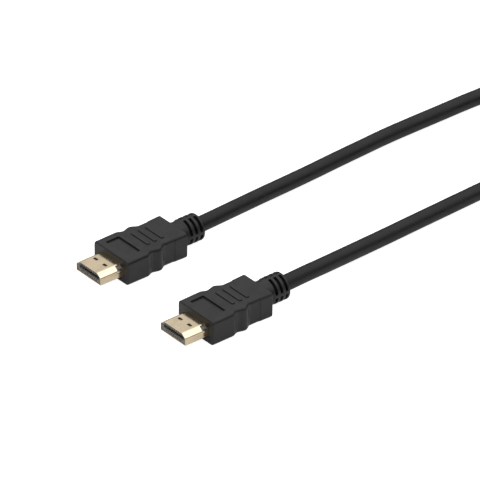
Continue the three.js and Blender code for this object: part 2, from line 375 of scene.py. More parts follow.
def put_out(piece: bpy.types.Object, slot: str, finish: bpy.types.Material, *nodes: str) -> None:
    """Dresses a finished piece, seats it on the one body and hides the CAD nodes that it stands for.

    Args:
        piece: The piece.
        slot: Not used.
        finish: Its material.
        nodes: The nodes that it stands for.
    """
    piece.data.materials.clear()
    piece.data.materials.append(finish)
    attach(piece, "root")
    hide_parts(*nodes)
    count = f"{len(piece.data.polygons)} faces" if piece.type == "MESH" else "one curve"
    log.info("%s: %s, for %d nodes", piece.name, count, len(nodes))


# Shader node groups that several finishes share


Pair = tuple[float, float]


class Sheet:
    """A node tree that is being wired."""

    def __init__(self, tree: bpy.types.NodeTree) -> None:
        """Keeps the tree."""
        self.tree = tree

    def add(self, kind: str, **settings: object) -> bpy.types.Node:
        """Adds a node, with its settings, or its input values where a name has a capital.

        Args:
            kind: The node's type.
            settings: Its settings, and its input values with a _ for a space.

        Returns:
            The node.
        """
        node = self.tree.nodes.new(kind)
        for name, value in settings.items():
            if name[0].isupper():
                node.inputs[name.replace("_", " ")].default_value = value
            else:
                setattr(node, name, value)
        return node

    def join(self, source: bpy.types.NodeSocket, target: bpy.types.NodeSocket) -> None:
        """Joins an output to an input."""
        self.tree.links.new(source, target)

    def math(self, operation: str, first: object, second: object = 0.0) -> bpy.types.NodeSocket:
        """Adds a math node between two sockets or numbers.

        Args:
            operation: What it does.
            first: Its first value.
            second: Its second value.

        Returns:
            Its output.
        """
        node = self.add("ShaderNodeMath", operation=operation)
        for place, value in enumerate((first, second)):
            if isinstance(value, bpy.types.NodeSocket):
                self.join(value, node.inputs[place])
            else:
                node.inputs[place].default_value = value
        return node.outputs[0]

    def spread(self, value: bpy.types.NodeSocket, start: Pair, end: Pair) -> bpy.types.NodeSocket:
        """Maps a value from one range to another, held at its ends.

        Args:
            value: The value.
            start: The range that it comes from.
            end: The range that it is mapped to.

        Returns:
            The mapped value.
        """
        node = self.add("ShaderNodeMapRange", interpolation_type="SMOOTHSTEP")
        self.join(value, node.inputs["Value"])
        for name, number in zip(("From Min", "From Max", "To Min", "To Max"), (*start, *end), strict=True):
            node.inputs[name].default_value = number
        return node.outputs["Result"]


def group(name: str, inputs: dict[str, float], outputs: tuple[str, ...]) -> tuple[Sheet, dict, dict]:
    """Starts a node group with named inputs and outputs.

    Args:
        name: The group's name.
        inputs: Each input's name and first value.
        outputs: Each output's name.

    Returns:
        The sheet to wire, and its input and output sockets by name.
    """
    tree = bpy.data.node_groups.new(name, "ShaderNodeTree")
    for label, value in inputs.items():
        tree.interface.new_socket(label, in_out="INPUT", socket_type="NodeSocketFloat").default_value = value
    for label in outputs:
        tree.interface.new_socket(label, in_out="OUTPUT", socket_type="NodeSocketFloat")
    sheet = Sheet(tree)
    given = sheet.add("NodeGroupInput").outputs
    result = sheet.add("NodeGroupOutput").inputs
    return sheet, {label: given[label] for label in inputs}, {label: result[label] for label in outputs}


def grain_group() -> bpy.types.NodeTree:
    """Builds the moulded grain: a fine pebbled height, and a broad tone that varies slowly.

    Returns:
        The group.
    """
    sheet, given, result = group("moulded_grain", {"Scale": 5000.0, "Tone Scale": 350.0}, ("Height", "Tone"))
    place = sheet.add("ShaderNodeTexCoord").outputs["Object"]
    pebbles = sheet.add("ShaderNodeTexVoronoi", feature="SMOOTH_F1")
    grit = sheet.add("ShaderNodeTexNoise", Detail=3.0, Roughness=0.6)
    tone = sheet.add("ShaderNodeTexNoise", Detail=4.0, Roughness=0.55)
    for node, scale in ((pebbles, "Scale"), (grit, "Scale"), (tone, "Tone Scale")):
        sheet.join(place, node.inputs["Vector"])
        sheet.join(given[scale], node.inputs["Scale"])
    rough = sheet.math("MULTIPLY", grit.outputs["Fac"], 0.5)
    sheet.join(sheet.math("ADD", pebbles.outputs["Distance"], rough), result["Height"])
    sheet.join(tone.outputs["Fac"], result["Tone"])
    return sheet.tree


def handling_group() -> bpy.types.NodeTree:
    """Builds the marks of handling: soft smudges, and fine scuffs that run along the piece.

    Returns:
        The group.
    """
    scales = {"Smudge Scale": 160.0, "Scuff Scale": 900.0}
    sheet, given, result = group("handling_marks", scales, ("Smudges", "Scuffs"))
    place = sheet.add("ShaderNodeTexCoord").outputs["Object"]
    smudge = sheet.add("ShaderNodeTexNoise", Detail=3.0, Roughness=0.5, Distortion=0.6)
    sheet.join(place, smudge.inputs["Vector"])
    sheet.join(given["Smudge Scale"], smudge.inputs["Scale"])
    stretched = sheet.add("ShaderNodeMapping", Scale=(0.08, 1.0, 1.0))
    sheet.join(place, stretched.inputs["Vector"])
    scuff = sheet.add("ShaderNodeTexNoise", Detail=5.0, Roughness=0.7)
    sheet.join(stretched.outputs["Vector"], scuff.inputs["Vector"])
    sheet.join(given["Scuff Scale"], scuff.inputs["Scale"])
    sheet.join(sheet.spread(smudge.outputs["Fac"], (0.35, 0.7), (0.0, 1.0)), result["Smudges"])
    sheet.join(sheet.spread(scuff.outputs["Fac"], (0.45, 0.75), (0.0, 1.0)), result["Scuffs"])
    return sheet.tree


def edge_group() -> bpy.types.NodeTree:
    """Builds the mask of rubbed edges: bare on flats, full on outer corners, broken up by noise.

    Returns:
        The group.
    """
    sheet, given, result = group("rubbed_edges", {"Reach": 0.06}, ("Mask",))
    place = sheet.add("ShaderNodeTexCoord").outputs["Object"]
    patches = sheet.add("ShaderNodeTexNoise", Scale=700.0, Detail=3.0)
    sheet.join(place, patches.inputs["Vector"])
    corner = sheet.math("SUBTRACT", sheet.add("ShaderNodeNewGeometry").outputs["Pointiness"], 0.5)
    share = sheet.math("DIVIDE", corner, given["Reach"])
    held = sheet.spread(share, (0.15, 1.0), (0.0, 1.0))
    broken = sheet.spread(patches.outputs["Fac"], (0.3, 0.6), (0.35, 1.0))
    sheet.join(sheet.math("MULTIPLY", held, broken), result["Mask"])
    return sheet.tree


@dataclass(frozen=True)
class Effects:
    """The shared node groups, built once."""

    grain: bpy.types.NodeTree
    handling: bpy.types.NodeTree
    edges: bpy.types.NodeTree

    @classmethod
    def build(cls) -> "Effects":
        """Builds every group."""
        return cls(grain_group(), handling_group(), edge_group())


# Finishes


Colour = tuple[float, float, float]
FULL = (0.0, 1.0)


def shader(name: str) -> tuple[Sheet, bpy.types.Node]:
    """Starts a material for wiring.

    Args:
        name: The material's name.

    Returns:
        Its sheet and its shader node.
    """
    material = bpy.data.materials.new(name)
    material.use_nodes = True
    sheet = Sheet(material.node_tree)
    return sheet, material.node_tree.nodes["Principled BSDF"]


def use(sheet: Sheet, tree: bpy.types.NodeTree, **values: float) -> bpy.types.Node:
    """Places a shared group in a material, with this material's own values."""
    return sheet.add("ShaderNodeGroup", node_tree=tree, **values)


def blended(
    sheet: Sheet, mask: bpy.types.NodeSocket, first: Colour | bpy.types.NodeSocket, second: Colour
) -> bpy.types.NodeSocket:
    """Mixes two colours by a mask.

    Args:
        sheet: The material's sheet.
        mask: The share of the second colour.
        first: The colour where the mask is 0, as numbers or as a socket.
        second: The colour where the mask is 1.

    Returns:
        The mixed colour.
    """
    mix = sheet.add("ShaderNodeMix", data_type="RGBA")
    factor, ground, cover = (mix.inputs[index] for index in (0, 6, 7))
    sheet.join(mask, factor)
    if isinstance(first, bpy.types.NodeSocket):
        sheet.join(first, ground)
    else:
        ground.default_value = (*first, 1.0)
    cover.default_value = (*second, 1.0)
    return mix.outputs[2]


def bumped(sheet: Sheet, height: bpy.types.NodeSocket, strength: float, depth: float) -> bpy.types.NodeSocket:
    """Turns a height into a normal.

    Args:
        sheet: The material's sheet.
        height: The height.
        strength: How strongly it shows.
        depth: How deep a height of 1 is.

    Returns:
        The normal.
    """
    bump = sheet.add("ShaderNodeBump", Strength=strength, Distance=depth)
    sheet.join(height, bump.inputs["Height"])
    return bump.outputs["Normal"]


def wire_up(sheet: Sheet, surface: bpy.types.Node, **sockets: bpy.types.NodeSocket) -> None:
    """Joins sockets to the shader's inputs, each named with a _ for a space.

    Args:
        sheet: The material's sheet.
        surface: Its shader node.
        sockets: What goes to each input.
    """
    for name, socket in sockets.items():
        sheet.join(socket, surface.inputs[name.replace("_", " ")])


@dataclass(frozen=True)
class Vinyl:
    """Black satin vinyl: a fine moulded grain, a slow change of tone, and paler rubbed edges."""

    name: str
    dark: Colour = (0.0075, 0.0075, 0.0085)
    pale: Colour = (0.0115, 0.0112, 0.0120)
    rubbed: Colour = (0.030, 0.030, 0.031)
    rub: float = 0.6
    roughness: Pair = (0.34, 0.44)
    gloss: float = 0.45
    grain_scale: float = 5200.0
    tone_scale: float = 420.0
    grain_strength: float = 0.22
    grain_depth: float = 0.03 * MM
    edge_reach: float = 0.10

    def make(self, effects: Effects) -> bpy.types.Material:
        """Builds the material.

        Args:
            effects: The shared node groups.

        Returns:
            The material.
        """
        sheet, surface = shader(self.name)
        grain = use(sheet, effects.grain, Scale=self.grain_scale, Tone_Scale=self.tone_scale)
        marks = use(sheet, effects.handling)
        edges = use(sheet, effects.edges, Reach=self.edge_reach)
        ground = blended(sheet, grain.outputs["Tone"], self.dark, self.pale)
        mask = sheet.math("MULTIPLY", edges.outputs["Mask"], self.rub)
        roughness = sheet.spread(marks.outputs["Smudges"], FULL, self.roughness)
        normal = bumped(sheet, grain.outputs["Height"], self.grain_strength, self.grain_depth)
        colour = blended(sheet, mask, ground, self.rubbed)
        wire_up(sheet, surface, Base_Color=colour, Roughness=roughness, Normal=normal)
        surface.inputs["Specular IOR Level"].default_value = self.gloss
        return bpy.data.materials[self.name]


@dataclass(frozen=True)
class Plating:
    """Thin metal plating over a folded or stamped sheet: slightly brushed, smudged by handling."""

    name: str
    clean: Colour = (0.79, 0.66, 0.46)
    dull: Colour = (0.70, 0.58, 0.41)
    roughness: Pair = (0.16, 0.30)
    smudge_scale: float = 260.0
    scuff_scale: float = 2600.0
    scuff_strength: float = 0.25
    scuff_depth: float = 0.004 * MM

    def make(self, effects: Effects) -> bpy.types.Material:
        """Builds the material.

        Args:
            effects: The shared node groups.

        Returns:
            The material.
        """
        sheet, surface = shader(self.name)
        scales = {"Smudge_Scale": self.smudge_scale, "Scuff_Scale": self.scuff_scale}
        marks = use(sheet, effects.handling, **scales)
        colour = blended(sheet, marks.outputs["Smudges"], self.clean, self.dull)
        roughness = sheet.spread(marks.outputs["Scuffs"], FULL, self.roughness)
        normal = bumped(sheet, marks.outputs["Scuffs"], self.scuff_strength, self.scuff_depth)
        wire_up(sheet, surface, Base_Color=colour, Roughness=roughness, Normal=normal)
        surface.inputs["Metallic"].default_value = 1.0
        return bpy.data.materials[self.name]


@dataclass(frozen=True)
class Insulator:
    """Matt moulded plastic inside the shell, black in itself but painted grey: the grey base colour is a
    painted reflection, standing in for the gloss on black plastic.
    """

    name: str
    # dark and pale are grey tones of painted reflection, not the plastic's own black.
    dark: Colour = (0.175, 0.175, 0.182)
    pale: Colour = (0.230, 0.228, 0.230)
    roughness: float = 0.42
    grain_scale: float = 9000.0
    tone_scale: float = 900.0
    grain_strength: float = 0.15
    grain_depth: float = 0.01 * MM

    def make(self, effects: Effects) -> bpy.types.Material:
        """Builds the material.

        Args:
            effects: The shared node groups.

        Returns:
            The material.
        """
        sheet, surface = shader(self.name)
        grain = use(sheet, effects.grain, Scale=self.grain_scale, Tone_Scale=self.tone_scale)
        colour = blended(sheet, grain.outputs["Tone"], self.dark, self.pale)
        normal = bumped(sheet, grain.outputs["Height"], self.grain_strength, self.grain_depth)
        wire_up(sheet, surface, Base_Color=colour, Normal=normal)
        surface.inputs["Roughness"].default_value = self.roughness
        return bpy.data.materials[self.name]


@dataclass(frozen=True)
class Floor:
    """The studio's plain floor: a light table, which looks white past the soft shadows on it."""

    name: str = "studio_floor"
    colour: Colour = (0.74, 0.74, 0.74)
    roughness: Pair = (0.88, 0.96)
    grain_scale: float = 900.0
    glow: float = 0.14
    table_light: float = 0.75

    def make(self) -> bpy.types.Material:
        """Builds the material.

        Returns:
            The material.
        """
        sheet, surface = shader(self.name)
        grain = sheet.add("ShaderNodeTexNoise", Scale=self.grain_scale, Detail=2.0)
        sheet.join(sheet.add("ShaderNodeTexCoord").outputs["Object"], grain.inputs["Vector"])
        wire_up(sheet, surface, Roughness=sheet.spread(grain.outputs["Fac"], FULL, self.roughness))
        surface.inputs["Base Color"].default_value = (*self.colour, 1.0)
        surface.inputs["Emission Color"].default_value = (1.0, 1.0, 1.0, 1.0)
        seen = sheet.add("ShaderNodeLightPath").outputs["Is Camera Ray"]
        lit = sheet.math("ADD", sheet.math("MULTIPLY", seen, self.table_light), self.glow)
        sheet.join(lit, surface.inputs["Emission Strength"])
        return bpy.data.materials[self.name]


# Studio


@dataclass
class Studio:
    """The camera, floor and soft light round the cable."""

    target: Vector = Vector((36.65 * MM, 14.16 * MM, 0))
    azimuth: float = -39.232
    elevation: float = 31.918
    distance: float = 2.5
    lens: float = 526.0
    floor_size: float = 4.0
    floor_drop: float = 0.02 * MM
    sensor: float = 36.0
    clip: Pair = (0.05, 20.0)
    sky: tuple[Pair, ...] = (
        (0.0, 0.06), (0.20, 0.08), (0.34, 0.40), (0.53, 0.78), (0.80, 1.15), (1.0, 1.35),
    )
    sky_colour: Colour = (1.0, 0.995, 0.985)
    box_place: Vector = Vector((0.75, -0.38, 1.10))
    box_size: Pair = (0.34, 0.34)
    box_power: float = 0.34

    def camera(self) -> bpy.types.Object:
        """Sets the camera at the photograph's angle.

        Returns:
            The camera.
        """
        turn, lift = math.radians(self.azimuth), math.radians(self.elevation)
        back = Vector((math.sin(turn) * math.cos(lift), -math.cos(turn) * math.cos(lift), math.sin(lift)))
        bpy.ops.object.camera_add(location=self.target + back * self.distance)
        camera = bpy.context.object
        camera.name = "camera"
        camera.rotation_euler = (-back).to_track_quat("-Z", "Y").to_euler()
        camera.data.lens = self.lens
        camera.data.sensor_width = self.sensor
        camera.data.clip_start, camera.data.clip_end = self.clip
        bpy.context.scene.camera = camera
        return camera

    def floor(self) -> None:
        """Lays the floor under everything."""
        bpy.ops.mesh.primitive_plane_add(size=self.floor_size, location=(0, 0, -self.floor_drop))
        floor = bpy.context.object
        floor.name = "floor"
        floor.data.materials.append(Floor().make())

    def light(self, name: str, place: Vector, size: Pair, power: float) -> None:
        """Hangs one soft box that faces the cable.

        Args:
            name: The light's name.
            place: Where it hangs.
            size: Its width and height.
            power: Its power in watts.
        """
        bpy.ops.object.light_add(type="AREA", location=place)
        lamp = bpy.context.object
        lamp.name = name
        lamp.data.shape = "RECTANGLE"
        lamp.data.size, lamp.data.size_y = size
        lamp.data.energy = power
        lamp.rotation_euler = (self.target - place).to_track_quat("-Z", "Y").to_euler()

    def surroundings(self) -> None:
        """Makes the room: bright above, dimmer towards the horizon, as round a white table."""
        world = bpy.data.worlds.new("room")
        bpy.context.scene.world = world
        world.use_nodes = True
        sheet = Sheet(world.node_tree)
        background = world.node_tree.nodes["Background"]
        direction = sheet.add("ShaderNodeTexCoord").outputs["Generated"]
        parts = sheet.add("ShaderNodeSeparateXYZ")
        sheet.join(direction, parts.inputs[0])
        curve = sheet.add("ShaderNodeFloatCurve")
        points = curve.mapping.curves[0].points
        brightest = self.sky[-1][1]
        for place, (height, level) in zip((points[0], points[1]), (self.sky[0], self.sky[-1]), strict=True):
            place.location = (height, level / brightest)
        for height, level in self.sky[1:-1]:
            points.new(height, level / brightest)
        curve.mapping.update()
        sheet.join(parts.outputs["Z"], curve.inputs["Value"])
        sheet.join(sheet.math("MULTIPLY", curve.outputs[0], brightest), background.inputs["Strength"])
        background.inputs["Color"].default_value = (*self.sky_colour, 1.0)

    def build(self) -> None:
        """Builds the studio."""
        self.camera()
        self.floor()
        self.surroundings()
        self.light("key_softbox", self.box_place, self.box_size, self.box_power)
        bpy.context.scene.view_settings.view_transform = "Standard"


# Plug


@dataclass(frozen=True)
class SleeveOutline:
    """The outline that shell, pocket and carrier share: a rectangle whose two upper corners are cut off."""

    width: float = 13.9 * MM
    height: float = 4.45 * MM
    corner_inset: float = 2.1 * MM
    corner_drop: float = 1.5 * MM
    axis_height: float = 5.2 * MM

    @property
    def top(self) -> float:
        """How high the upper wall is."""
        return self.axis_height + self.height / 2

    @property
    def bottom(self) -> float:
        """How high the lower wall is."""
        return self.axis_height - self.height / 2

    def prism(self, name: str, start: float, end: float, held_in: float) -> bpy.types.Object:
        """Makes a solid of the outline along X.

        Args:
            name: The solid's name.
            start: The station of its front end.
            end: The station of its rear end.
            held_in: How far it is smaller all round; a negative number makes it larger.

        Returns:
            The solid.
        """
        half_width = self.width / 2 - held_in
        half_height = self.height / 2 - held_in
        strip = math.hypot(self.corner_inset, self.corner_drop)
        slack = held_in * (self.corner_inset + self.corner_drop - strip)
        inset = self.corner_inset - slack / self.corner_drop
        drop = self.corner_drop - slack / self.corner_inset
        top = self.axis_height + half_height
        low = Vector((start, -half_width, self.axis_height - half_height))
        solid = block(name, low, Vector((end, half_width, top)))
        with Bench(solid) as bench:
            bench.pick(Pick.EDGES, lambda edge: runs_along(ALONG)(edge) and rim_at(UP, top)(edge))
            bench.round_off(drop, steps=1)
            for side in SIDES:
                edge_place = side * (half_width - drop)
                bench.pick(Pick.POINTS, lambda point: same(point.co.z, top) and same(point.co.y, edge_place))
                bench.move(ACROSS * -side * (inset - drop))
        return solid


@dataclass
class PlugMoulding:
    """The vinyl body with its grip bars, label field and strain relief, all one moulding.

    Stations are distances behind the front face, and heights are above the floor.
    """

    length: float = 28.2 * MM
    front_height: float = 9.9 * MM
    rear_height: float = 10.4 * MM
    edge_radius: float = 1.45 * MM
    end_radius: float = 0.6 * MM
    side_line: tuple[Pair, ...] = (
        (0.0, 19.5), (9.2, 19.5), (12.0, 17.5), (15.2, 18.9),
        (18.5, 15.8), (22.4, 15.8), (22.9, 16.3), (28.2, 16.6),
    )
    station_pitch: float = 0.4
    label_start: float = 2.6 * MM
    label_length: float = 5.9 * MM
    label_width: float = 12.4 * MM
    label_depth: float = 0.6 * MM
    label_corner: float = 0.35 * MM
    label_headroom: float = 2.0 * MM
    rim_radius: float = 0.10 * MM
    bar_count: int = 3
    bar_start: float = 12.6 * MM
    bar_pitch: float = 3.2 * MM
    bar_width: float = 1.5 * MM
    bar_length: float = 10.0 * MM
    bar_rise: float = 0.35 * MM
    bar_height: float = 1.3 * MM
    bar_end_round: float = 0.49
    bar_rim_round: float = 0.45
    relief_root: float = 6.0 * MM
    relief_length: float = 10.6 * MM
    relief_sides: int = 100
    neck_waist: float = 0.40 * MM
    neck_cuts: int = 5
    slot_count: int = 3
    slot_start: float = 3.9 * MM
    slot_pitch: float = 2.3 * MM
    slot_width: float = 1.15 * MM
    slot_depth: float = 1.4 * MM
    web_width: float = 1.3 * MM
    slot_rim: float = 0.13 * MM
    bore_radius: float = 3.02 * MM
    bore_depth: float = 3.0 * MM
    pocket_depth: float = 5.3 * MM
    pocket_gap: float = 0.03 * MM

    def width_at(self, station: float) -> float:
        """How wide the body is at a station.

        Args:
            station: The distance behind the front face.

        Returns:
            The width.
        """
        place = station / MM
        for (start, start_width), (end, end_width) in pairwise(self.side_line):
            if place <= end:
                share = smoothstep((place - start) / (end - start))
                return MM * (start_width + (end_width - start_width) * share)
        return MM * self.side_line[-1][1]

    def top_at(self, station: float) -> float:
        """How high the body is at a station."""
        return self.front_height + (self.rear_height - self.front_height) * station / self.length

    def stations(self) -> list[float]:
        """Where the body is cut across, closer together where its sides curve.

        Returns:
            The stations between its two ends.
        """
        cuts = []
        for (start, start_width), (end, end_width) in pairwise(self.side_line):
            count = 1 if start_width == end_width else math.ceil((end - start) / self.station_pitch)
            cuts += [MM * (start + (end - start) * step / count) for step in range(1, count + 1)]
        return cuts[:-1]

    def body(self) -> bpy.types.Object:
        """Makes the waisted body.

        Returns:
            The body.
        """
        half = self.width_at(0.0) / 2
        body = block("body", Vector((0, -half, 0)), Vector((self.length, half, self.front_height)))
        with Bench(body) as bench:
            bench.pick(Pick.EDGES, runs_along(ALONG))
            bench.round_off(self.edge_radius, steps=8)
            for station in self.stations():
                bench.cut(ALONG, station)
            for station in [0.0, *self.stations(), self.length]:
                shift = self.width_at(station) / 2 - half
                here = points_at(ALONG, station)
                for side in SIDES:
                    bench.pick(Pick.POINTS, lambda point: here(point) and point.co.y * side > 0)
                    bench.move(ACROSS * side * shift)
                bench.pick(Pick.POINTS, lambda point: here(point) and point.co.z > self.front_height / 2)
                bench.move(UP * (self.top_at(station) - self.front_height))
            for end in (0.0, self.length):
                bench.pick(Pick.EDGES, rim_at(ALONG, end))
                bench.round_off(self.end_radius, steps=5)
        return body

    def relief(self) -> bpy.types.Object:
        """Makes the round strain relief, with its rows of slots and the bore for the cable.

        Returns:
            The strain relief, with a root that reaches into the body.
        """
        radius = self.rear_height / 2
        axis = UP * radius
        root = self.length - self.relief_root
        end = self.length + self.relief_length
        slots = [self.length + self.slot_start + row * self.slot_pitch for row in range(self.slot_count)]
        neck = [self.length + self.slot_start * (cut / self.neck_cuts) for cut in range(self.neck_cuts)]
        relief = rod("relief", ALONG * root + axis, end - root, radius, self.relief_sides)
        web = math.asin(self.web_width / 2 / radius)

        def in_slot(face: bmesh.types.BMFace) -> bool:
            """Says whether a face of the round is the mouth of a slot, between the webs.

            Args:
                face: The face.

            Returns:
                True for such a face.
            """
            middle = face.calc_center_median() - axis
            angle = math.atan2(middle.z, middle.y) % (math.pi / 2)
            in_row = any(start < middle.x < start + self.slot_width for start in slots)
            return in_row and not closes_end(face) and min(angle, math.pi / 2 - angle) > web

        def slot_edge(edge: bmesh.types.BMEdge) -> bool:
            """Says whether an edge is the rim of a slot.

            Args:
                edge: The edge.

            Returns:
                True for such an edge.
            """
            outside = all(math.hypot(p.co.y, p.co.z - radius) > radius - TOUCH for p in edge.verts)
            in_row = all(slots[0] - TOUCH < p.co.x < slots[-1] + self.slot_width + TOUCH for p in edge.verts)
            return outside and in_row and creased(edge)

        with Bench(relief) as bench:
            for station in [*neck, *slots, *(start + self.slot_width for start in slots)]:
                bench.cut(ALONG, station)
            for station in neck:
                waist = self.neck_waist * math.sin(math.pi * (station - self.length) / self.slot_start)
                factor = 1 - (waist + (self.neck_waist if same(station, self.length) else 0.0)) / radius
                bench.pick(Pick.POINTS, points_at(ALONG, station))
                bench.swell((1, factor, factor), axis + ALONG * station)
            bench.pick(Pick.POINTS, points_at(ALONG, root))
            factor = 1 - self.edge_radius / radius
            bench.swell((1, factor, factor), axis + ALONG * root)
            bench.pick(Pick.FACES, in_slot)
            bpy.ops.mesh.extrude_region_move()
            factor = 1 - self.slot_depth / radius
            bench.swell((1, factor, factor), axis)
            bench.pick(Pick.EDGES, slot_edge)
            bench.round_off(self.slot_rim, steps=2)
            bench.pick(Pick.EDGES, rim_at(ALONG, end))
            bench.round_off(self.end_radius / 2, steps=3)
            bench.pick(Pick.FACES, rim_at(ALONG, end))
            end_wall = radius - self.end_radius / 2 - self.bore_radius
            bpy.ops.mesh.inset(thickness=end_wall, use_even_offset=False)
            bpy.ops.mesh.extrude_region_move(TRANSFORM_OT_translate={"value": -ALONG * self.bore_depth})
        return relief

    def bars(self) -> bpy.types.Object:
        """Makes the raised bars for the fingers, with round ends.

        Returns:
            All the bars as one mesh.
        """
        bars = []
        for row in range(self.bar_count):
            start = self.bar_start + row * self.bar_pitch
            top = self.top_at(start + self.bar_width / 2) + self.bar_rise
            low = Vector((start, -self.bar_length / 2, top - self.bar_height))
            bar = block("bar", low, Vector((start + self.bar_width, self.bar_length / 2, top)))
            with Bench(bar) as bench:
                bench.pick(Pick.EDGES, runs_along(UP))
                bench.round_off(self.bar_width * self.bar_end_round, steps=7)
                bench.pick(Pick.EDGES, rim_at(UP, top))
                bench.round_off(self.bar_rise * self.bar_rim_round, steps=3)
            bars.append(bar)
        return joined("bars", bars)

    def label_tool(self) -> bpy.types.Object:
        """Makes the tool that sinks the label field, which is left bare.

        Returns:
            The tool.
        """
        middle = self.label_start + self.label_length / 2
        floor = self.top_at(middle) - self.label_depth
        half = self.label_width / 2
        low = Vector((self.label_start, -half, floor))
        high = Vector((self.label_start + self.label_length, half, floor + self.label_headroom))
        tool = block("label_tool", low, high)
        with Bench(tool) as bench:
            bench.pick(Pick.EDGES, runs_along(UP))
            bench.round_off(self.label_corner, steps=4)
            bench.pick(Pick.EDGES, rim_at(UP, floor))
            bench.round_off(self.rim_radius, steps=2)
        return tool

    def build(self) -> bpy.types.Object:
        """Makes the whole moulding, with its front face at X = 0 and its middle at Y = 0.

        Returns:
            The moulding.
        """
        moulding = self.body()
        combine(moulding, self.relief(), Join.ADD)
        combine(moulding, self.bars(), Join.ADD)
        combine(moulding, self.label_tool(), Join.CUT)
        pocket = SleeveOutline().prism("pocket", -OVERCUT, self.pocket_depth, -self.pocket_gap)
        combine(moulding, pocket, Join.CUT)

        def label_rim(edge: bmesh.types.BMEdge) -> bool:
            """Says whether an edge is the upper rim of the sunk field.

            Args:
                edge: The edge.

            Returns:
                True for such an edge.
            """
            near = all(
                self.label_start - TOUCH < p.co.x < self.label_start + self.label_length + TOUCH
                and abs(p.co.y) < self.label_width / 2 + TOUCH
                and p.co.z > self.top_at(p.co.x) - TOUCH
                for p in edge.verts
            )
            return near and creased(edge)

        with Bench(moulding) as bench:
            bench.tidy()
            bench.pick(Pick.EDGES, label_rim)
            bench.round_off(self.rim_radius, steps=2)
        return smooth(moulding)


@dataclass
class PlugShell:
    """The plated sleeve, folded from one sheet: spring holes, cut corner strips and a seam underneath."""

    outline: SleeveOutline = SleeveOutline()
    reach: float = 10.0 * MM
    seat: float = 5.0 * MM
    wall: float = 0.3 * MM
    fold_radius: float = 0.28 * MM
    corner_notch: float = 2.3 * MM
    latch_length: float = 1.2 * MM
    latch_width: float = 2.0 * MM
    latch_setback: float = 4.7 * MM
    latch_spacing: float = 5.2 * MM
    latch_corner: float = 0.15 * MM
    notch_corner: float = 0.25 * MM
    tip_radius: float = 0.09 * MM
    seam_width: float = 0.07 * MM
    key_reach: float = 0.9 * MM
    key_length: float = 1.8 * MM
    key_places: tuple[float, ...] = (-8.2 * MM, -3.4 * MM)
    crease_drop: float = 0.75 * MM
    crease_rise: float = 0.05 * MM
    crease_spread: float = 3.0

    def sheet(self) -> bpy.types.Object:
        """Folds the sleeve and gives it its thickness.

        Returns:
            The sleeve, still without its cuts.
        """
        sleeve = self.outline.prism("sleeve", -self.reach, self.seat, 0.0)
        half = self.outline.width / 2
        crease = self.outline.top - self.outline.corner_drop - self.crease_drop
        reach = self.crease_rise * self.crease_spread
        with Bench(sleeve) as bench:
            bench.pick(Pick.EDGES, runs_along(ALONG))
            bench.round_off(self.fold_radius, steps=4)
            for height in (crease - reach, crease, crease + reach):
                bench.cut(UP, height)
            for side in SIDES:
                bench.pick(Pick.POINTS, lambda p: same(p.co.z, crease) and same(p.co.y, side * half))
                bench.move(ACROSS * side * self.crease_rise)
            bench.pick(Pick.FACES, closes_end)
            bpy.ops.mesh.delete(type="ONLY_FACE")
            bench.tidy()
        modify(sleeve, "SOLIDIFY", thickness=self.wall, offset=-1.0, use_even_offset=True)
        return sleeve

    def latch_tools(self) -> list[bpy.types.Object]:
        """Makes the tools that cut the spring holes through the top and bottom walls.

        Returns:
            The four tools.
        """
        tools = []
        half = Vector((self.latch_length / 2, self.latch_width / 2, 2 * self.wall))
        for side, level in product(SIDES, (self.outline.bottom, self.outline.top)):
            middle = Vector((-self.latch_setback, side * self.latch_spacing / 2, level))
            tool = block("latch_tool", middle - half, middle + half)
            with Bench(tool) as bench:
                bench.pick(Pick.EDGES, runs_along(UP))
                bench.round_off(self.latch_corner, steps=3)
            tools.append(tool)
        return tools

    def notch_tools(self) -> list[bpy.types.Object]:
        """Makes the tools that end the slanted corner strips short of the body.

        Returns:
            The two tools.
        """
        top = self.outline.top
        inner = self.outline.width / 2 - self.outline.corner_inset + self.fold_radius
        tools = []
        for side in SIDES:
            near, far = sorted((side * inner, side * (self.outline.width / 2 + OVERCUT)))
            low = Vector((-self.corner_notch, near, top - self.outline.corner_drop + self.fold_radius / 2))
            tool = block("notch_tool", low, Vector((OVERCUT / 2, far, top + OVERCUT)))
            with Bench(tool) as bench:
                bench.pick(Pick.EDGES, lambda edge: runs_along(UP)(edge) and edge.verts[0].co.x < 0)
                bench.round_off(self.notch_corner, steps=3)
            tools.append(tool)
        return tools

    def seam_tool(self) -> bpy.types.Object:
        """Makes the tool that cuts the seam underneath, with its two interlocking keys.

        Returns:
            The tool.
        """
        level = self.outline.bottom
        half = self.seam_width / 2

        def groove(x0: float, y0: float, x1: float, y1: float) -> bpy.types.Object:
            """Makes one straight stretch of the cut, from one place in the wall to another.

            Args:
                x0: The first place along.
                y0: The first place across.
                x1: The second place along.
                y1: The second place across.

            Returns:
                The stretch's tool.
            """
            low = Vector((min(x0, x1) - half, min(y0, y1) - half, level - self.wall))
            high = Vector((max(x0, x1) + half, max(y0, y1) + half, level + 2 * self.wall))
            return block("seam_tool", low, high)

        parts, start = [], -self.reach - OVERCUT
        for place in self.key_places:
            parts.append(groove(start, 0, place, 0))
            parts.append(groove(place, 0, place, self.key_reach))
            parts.append(groove(place, self.key_reach, place + self.key_length, self.key_reach))
            parts.append(groove(place + self.key_length, self.key_reach, place + self.key_length, 0))
            start = place + self.key_length
        parts.append(groove(start, 0, self.seat - OVERCUT, 0))
        return joined("seam_tool", parts)

    def build(self) -> bpy.types.Object:
        """Makes the sleeve, with the body's front face at X = 0.

        Returns:
            The sleeve.
        """
        sleeve = self.sheet()
        combine(sleeve, joined("cuts", self.latch_tools() + self.notch_tools()), Join.CUT)
        combine(sleeve, self.seam_tool(), Join.CUT)
        with Bench(sleeve) as bench:
            bench.tidy()
            bench.pick(Pick.EDGES, lambda edge: rim_at(ALONG, -self.reach)(edge) and creased(edge))
            bench.round_off(self.tip_radius, steps=2)
        return smooth(sleeve)


